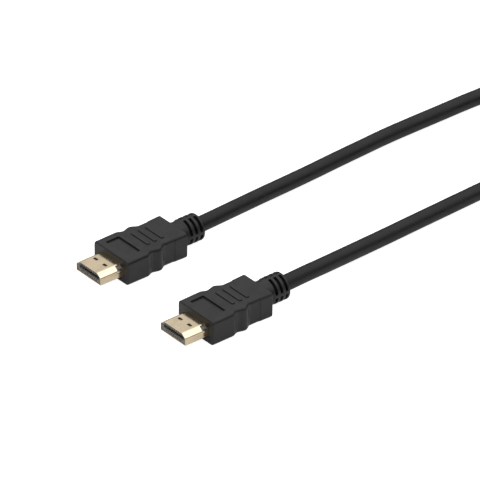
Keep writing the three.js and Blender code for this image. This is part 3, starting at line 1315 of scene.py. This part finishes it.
@dataclass
class ContactCarrier:
    """The moulded insulator in the shell, with the mating slot and a window in front of each contact."""

    outline: SleeveOutline = SleeveOutline()
    held_in: float = 0.32 * MM
    front: float = -9.72 * MM
    length: float = 12.0 * MM
    slot_width: float = 11.2 * MM
    slot_height: float = 1.5 * MM
    slot_depth: float = 8.0 * MM
    slot_corner: float = 0.2 * MM
    rim_radius: float = 0.10 * MM
    upper_count: int = 10
    lower_count: int = 9
    pitch: float = 1.0 * MM
    window: tuple[float, float, float] = (1.6 * MM, 0.52 * MM, 0.70 * MM)
    window_gap: float = 0.15 * MM
    dimple: tuple[float, float, float] = (1.7 * MM, 2.5 * MM, 0.8 * MM)
    dimple_setback: float = 4.7 * MM
    dimple_spacing: float = 5.2 * MM

    def places(self) -> list[tuple[float, int]]:
        """Where each contact stands: its place across, and 1 for the upper row or -1 for the lower.

        Returns:
            One pair for each contact, the upper row first.
        """
        rows = ((self.upper_count, 1), (self.lower_count, -1))
        return [
            ((index - (count - 1) / 2) * self.pitch, level) for count, level in rows for index in range(count)
        ]

    def tool(self, low: Vector, size: tuple[float, float, float]) -> bpy.types.Object:
        """Makes one box-shaped tool from its lowest corner."""
        return block("carrier_tool", low, low + Vector(size))

    def slot(self) -> bpy.types.Object:
        """Makes the tool that cuts the mating slot, with round corners.

        Returns:
            The tool.
        """
        floor = self.outline.axis_height - self.slot_height / 2
        low = Vector((self.front - OVERCUT, -self.slot_width / 2, floor))
        slot = self.tool(low, (self.slot_depth + OVERCUT, self.slot_width, self.slot_height))
        with Bench(slot) as bench:
            bench.pick(Pick.EDGES, runs_along(ALONG))
            bench.round_off(self.slot_corner, steps=3)
        return slot

    def windows(self) -> list[bpy.types.Object]:
        """Makes the tools that cut a window above or below each contact.

        Returns:
            The tools, one for each contact.
        """
        depth, width, height = self.window
        near = self.slot_height / 2 + self.window_gap
        tools = []
        for y, level in self.places():
            z = self.outline.axis_height + (near if level > 0 else -near - height)
            low = Vector((self.front - OVERCUT, y - width / 2, z))
            tools.append(self.tool(low, (depth + OVERCUT, width, height)))
        return tools

    def dimples(self) -> list[bpy.types.Object]:
        """Makes the tools that sink a dimple behind each spring hole of the shell.

        Returns:
            The four tools.
        """
        length, width, depth = self.dimple
        tools = []
        for side, level in product(SIDES, repeat=2):
            y = side * self.dimple_spacing / 2 - width / 2
            z = self.outline.axis_height + level * (self.outline.height / 2 - self.held_in) - depth / 2
            tools.append(self.tool(Vector((-self.dimple_setback - length / 2, y, z)), self.dimple))
        return tools

    def build(self) -> bpy.types.Object:
        """Makes the carrier, with the body's front face at X = 0.

        Returns:
            The carrier.
        """
        carrier = self.outline.prism("carrier", self.front, self.front + self.length, self.held_in)
        combine(carrier, self.slot(), Join.CUT)
        combine(carrier, joined("recesses", self.windows() + self.dimples()), Join.CUT)
        reach_y, reach_z = self.slot_width / 2 + TOUCH, self.slot_height / 2 + TOUCH

        def mouth(edge: bmesh.types.BMEdge) -> bool:
            """Says whether an edge is the rim of the slot's mouth.

            Args:
                edge: The edge.

            Returns:
                True for such an edge.
            """
            inside = all(
                abs(point.co.y) < reach_y and abs(point.co.z - self.outline.axis_height) < reach_z
                for point in edge.verts
            )
            return inside and rim_at(ALONG, self.front)(edge)

        with Bench(carrier) as bench:
            bench.tidy()
            bench.pick(Pick.EDGES, mouth)
            bench.round_off(self.rim_radius, steps=2)
        return smooth(carrier)


@dataclass
class Contacts:
    """The nineteen spring blades of a plug, bowed into the mating slot."""

    carrier: ContactCarrier
    setback: float = 0.3 * MM
    length: float = 7.0 * MM
    width: float = 0.42 * MM
    thickness: float = 0.16 * MM
    wall_gap: float = 0.05 * MM
    bow: float = 0.16 * MM
    edge_radius: float = 0.03 * MM
    cuts: int = 8

    def blade(self) -> bpy.types.Object:
        """Makes one blade for the upper row, lying along X at the height 0 and bowed downwards.

        Returns:
            The blade.
        """
        half = self.width / 2
        blade = block("blade", Vector((0, -half, -self.thickness)), Vector((self.length, half, 0)))
        with Bench(blade) as bench:
            stations = even_steps(self.length, self.cuts)
            for station in stations[1:-1]:
                bench.cut(ALONG, station)
            for station in stations:
                drop = self.bow * math.sin(math.pi * station / self.length) ** 2
                bench.pick(Pick.POINTS, points_at(ALONG, station))
                bench.move(UP * -drop)
            bench.pick(Pick.EDGES, runs_along(ALONG, FACING))
            bench.round_off(self.edge_radius, steps=1)
        return blade

    def build(self) -> bpy.types.Object:
        """Makes all the blades as one mesh.

        Returns:
            The blades, with the body's front face at X = 0.
        """
        model = self.blade()
        reach = self.carrier.slot_height / 2 - self.wall_gap
        axis = self.carrier.outline.axis_height
        start = self.carrier.front + self.setback
        blades = []
        for y, level in self.carrier.places():
            blade = placed_copy(model, "blade", Vector((start, y, axis + reach)))
            if level < 0:
                with Bench(blade) as bench:
                    bench.pick(Pick.POINTS, anything)
                    bench.turn(math.pi, "X", Vector((0, y, axis)))
            blades.append(blade)
        bpy.data.objects.remove(model)
        return smooth(joined("contacts", blades))


@dataclass
class CoilTie:
    """A flat film tie, drawn tight round the turns on one side of the coil and twisted shut."""

    cable: "Cable"
    side: int
    width: float = 3.6 * MM
    thickness: float = 0.4 * MM
    gap: float = 0.03 * MM
    turn_sides: int = 40
    tail_length: float = 13.0 * MM
    tail_width: float = 2.6 * MM
    tail_rise: float = 0.4 * MM
    tail_half_turns: int = 4
    tail_neck: float = 0.3
    tail_cuts: int = 40

    def turns(self) -> list[Vector]:
        """Where the cable's turns pass through the tie."""
        return [self.cable.over_ties(place) for place in self.cable.crossings(self.side)]

    def loop(self) -> bpy.types.Object:
        """Makes the loop: a skin stretched round the turns, thickened outwards.

        Returns:
            The loop.
        """
        radius = self.cable.diameter / 2 + self.gap
        start = ALONG * -self.width / 2
        rods = [rod("turn", place + start, self.width, radius, self.turn_sides) for place in self.turns()]
        loop = joined("loop", rods)
        with Bench(loop) as bench:
            bpy.ops.mesh.select_all(action="SELECT")
            bpy.ops.mesh.convex_hull(delete_unused=True, use_existing_faces=False, join_triangles=True)
            bench.tidy()
            bench.pick(Pick.FACES, closes_end)
            bpy.ops.mesh.delete(type="ONLY_FACE")
        modify(loop, "SOLIDIFY", thickness=self.thickness, offset=1.0, use_even_offset=True)
        return loop

    def tail(self) -> bpy.types.Object:
        """Makes the twisted end, which lies along the top of the coil.

        Returns:
            The twisted end.
        """
        turns = self.turns()
        top = max(place.z for place in turns) + self.cable.diameter / 2 + self.gap + self.thickness
        outermost = max(abs(place.y) for place in turns)
        height = top + self.tail_rise
        middle = Vector((self.cable.coil_centre, self.tail_length / 2, height))
        half = Vector((self.tail_width / 2, self.tail_length / 2, self.thickness / 2))
        tail = block("tail", middle - half, middle + half)
        with Bench(tail) as bench:
            stations = even_steps(self.tail_length, self.tail_cuts)
            for station in stations[1:-1]:
                bench.cut(ACROSS, station)
            for station in stations:
                share = station / self.tail_length
                twist = math.pi * self.tail_half_turns * smoothstep(2 * share)
                spread = self.tail_neck + (1 - self.tail_neck) * smoothstep(2 * share - 1)
                middle = Vector((self.cable.coil_centre, station, height))
                bench.pick(Pick.POINTS, points_at(ACROSS, station))
                bench.swell((spread, 1, 1), middle)
                bench.turn(twist, "Y", middle)
            bench.pick(Pick.POINTS, anything)
            bench.move(ACROSS * (outermost - self.tail_length if self.side > 0 else -outermost))
            bench.tidy()
        return tail

    def build(self) -> bpy.types.Object:
        """Makes the tie."""
        return smooth(joined("tie", [self.loop(), self.tail()]))


# Cable


Point = tuple[float, float, float]


@dataclass
class Cable:
    """The round cable: two free stretches, given point by point, and the wound length between them."""

    diameter: float = 6.0 * MM
    length: float = 1.40
    coil_centre: float = 221.5 * MM
    lay_height: float = 3.05 * MM
    inner_turn: float = 28.5 * MM
    turns_across: float = 2.25
    turn_pitch: float = 6.2 * MM
    layer_height: float = 6.1 * MM
    change_reach: float = 2.2
    points_a_turn: int = 24
    hump_rise: float = 0.5 * MM
    hump_reach: float = 16.0 * MM
    lead_a: tuple[Point, ...] = (
        (31.0, 25.0, 5.2), (36.5, 25.4, 5.1), (46.5, 26.4, 4.7), (58.5, 27.85, 4.0), (70.5, 29.05, 3.4),
        (82.5, 30.05, 3.05), (95.5, 30.9, 3.05), (107.5, 31.55, 3.05), (120.5, 32.2, 3.05),
        (132.5, 32.3, 3.05), (144.5, 32.25, 3.05), (157.0, 32.25, 3.05), (169.5, 32.15, 3.05),
        (180.5, 33.7, 3.05), (189.2, 36.1, 3.05), (200.0, 39.0, 3.05), (211.0, 41.45, 3.05),
    )
    lead_b: tuple[Point, ...] = (
        (29.5, -24.45, 5.2), (35.0, -24.1, 5.1), (42.5, -23.5, 4.7), (53.5, -22.4, 4.05),
        (65.5, -21.25, 3.4), (77.0, -20.4, 3.05), (89.0, -19.85, 3.05), (101.0, -19.35, 3.05),
        (113.0, -18.85, 3.05), (126.5, -18.5, 3.05), (140.5, -19.7, 3.1), (152.5, -22.8, 3.3),
        (164.5, -26.9, 4.1), (176.5, -31.3, 5.3), (188.7, -35.7, 6.8), (200.0, -39.25, 7.95),
        (211.0, -41.6, 8.85),
    )
    start_inside: float = 2.0 * MM
    middle_ease: float = 0.5
    curve_steps: int = 6
    side_steps: int = 7

    @property
    def turns(self) -> float:
        """How many turns the coil has, in both layers."""
        return 2 * self.turns_across

    def exit(self, tag: str) -> Vector:
        """Where the cable leaves a plug's strain relief.

        Args:
            tag: The plug's letter.

        Returns:
            The middle of the bore's mouth.
        """
        low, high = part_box(f"plug_moulding_{tag}")
        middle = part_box(f"plug_shell_{tag}")
        return Vector((high.x, (low.y + high.y) / 2, (middle[0].z + middle[1].z) / 2))

    def turn(self, wound: float) -> Vector:
        """Where the wound cable is after so many turns, clockwise from the +Y side.

        The first layer runs inwards on the floor and the second runs outwards on top of it.

        Args:
            wound: How many turns are wound so far.

        Returns:
            The centreline's place.
        """
        from_middle = (wound - self.turns_across) * 2 * math.pi
        eased = math.sqrt(from_middle**2 + self.middle_ease**2) - self.middle_ease
        radius = self.inner_turn + self.turn_pitch * eased / (2 * math.pi)
        climb = smoothstep((from_middle + self.change_reach) / (2 * self.change_reach))
        angle = math.pi / 2 - wound * 2 * math.pi
        return Vector((
            self.coil_centre + radius * math.cos(angle),
            radius * math.sin(angle),
            self.lay_height + climb * self.layer_height,
        ))

    def over_ties(self, place: Vector) -> Vector:
        """Lifts the cable over the ties that pass under the coil."""
        near = 1 - abs(place.x - self.coil_centre) / self.hump_reach
        return place + UP * self.hump_rise * smoothstep(near)

    def crossings(self, side: int) -> list[Vector]:
        """Where the turns pass on one side of the coil, before they are lifted over the tie.

        Args:
            side: 1 for the +Y side and -1 for the -Y side.

        Returns:
            The turns' places there.
        """
        half_turns = range(round(2 * self.turns) + 1)
        places = [self.turn(count / 2) for count in half_turns]
        return [place for place in places if place.y * side > 0]

    def route(self) -> list[Vector]:
        """Lays out the centreline, from plug a round the coil to plug b.

        Returns:
            The points.
        """
        out = [self.exit("a") - ALONG * self.start_inside, *(Vector(point) * MM for point in self.lead_a)]
        back = [self.exit("b") - ALONG * self.start_inside, *(Vector(point) * MM for point in self.lead_b)]
        wound = [self.turn(wound) for wound in even_steps(self.turns, round(self.turns * self.points_a_turn))]
        return [self.over_ties(place) for place in (*out, *wound, *reversed(back))]

    def build(self, finish: bpy.types.Material) -> bpy.types.Object:
        """Args:
            finish: Its material.

        Returns:
            The cable.
        """
        curve = bpy.data.curves.new("cable", "CURVE")
        curve.dimensions = "3D"
        curve.resolution_u = self.curve_steps
        curve.bevel_depth = self.diameter / 2
        curve.bevel_resolution = self.side_steps
        curve.use_fill_caps = True
        places = self.route()
        spline = curve.splines.new("BEZIER")
        spline.bezier_points.add(len(places) - 1)
        for point, place in zip(spline.bezier_points, places, strict=True):
            point.co = place
            point.handle_left_type = point.handle_right_type = "AUTO"
        cable = bpy.data.objects.new("cable", curve)
        bpy.context.scene.collection.objects.link(cable)
        put_out(cable, "cable", finish, "cable_lead_a", "cable_coil", "cable_lead_b")
        return cable


def main() -> None:
    """Builds the studio and every piece."""
    logging.basicConfig(level=logging.INFO, format="%(message)s")
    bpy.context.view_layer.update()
    effects = Effects.build()
    Studio().build()
    cable = Cable()
    jacket = Vinyl("jacket_vinyl", gloss=0.3, grain_strength=0.10).make(effects)
    cord = cable.build(jacket)
    ties = [CoilTie(cable, side).build() for side in (1, -1)]
    for tag, tie in zip(PLUGS, ties, strict=True):
        tie.name = f"tie_{tag}"
        put_out(tie, "tie", jacket, f"coil_tie_{tag}")

    carrier = ContactCarrier()
    gold = Plating("contact_gold", clean=(0.85, 0.62, 0.28))
    models = {
        "moulding": (PlugMoulding().build(), Vinyl("moulding_vinyl").make(effects)),
        "shell": (PlugShell().build(), Plating("shell_plating").make(effects)),
        "carrier": (carrier.build(), Insulator("carrier_plastic_painted_reflection").make(effects)),
        "contact": (Contacts(carrier).build(), gold.make(effects)),
    }
    stands_for = {"moulding": "plug_moulding", "shell": "plug_shell", "carrier": "contact_carrier"}
    for tag in PLUGS:
        for slot, (model, finish) in models.items():
            piece = placed_copy(model, f"{slot}_{tag}", plug_place(tag))
            nodes = [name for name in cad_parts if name.startswith(f"contact_{tag}_")]
            if slot in stands_for:
                nodes = [f"{stands_for[slot]}_{tag}"]
            put_out(piece, slot, finish, *nodes)
    for model, _ in models.values():
        bpy.data.objects.remove(model)


if __name__ == "__main__":
    main()
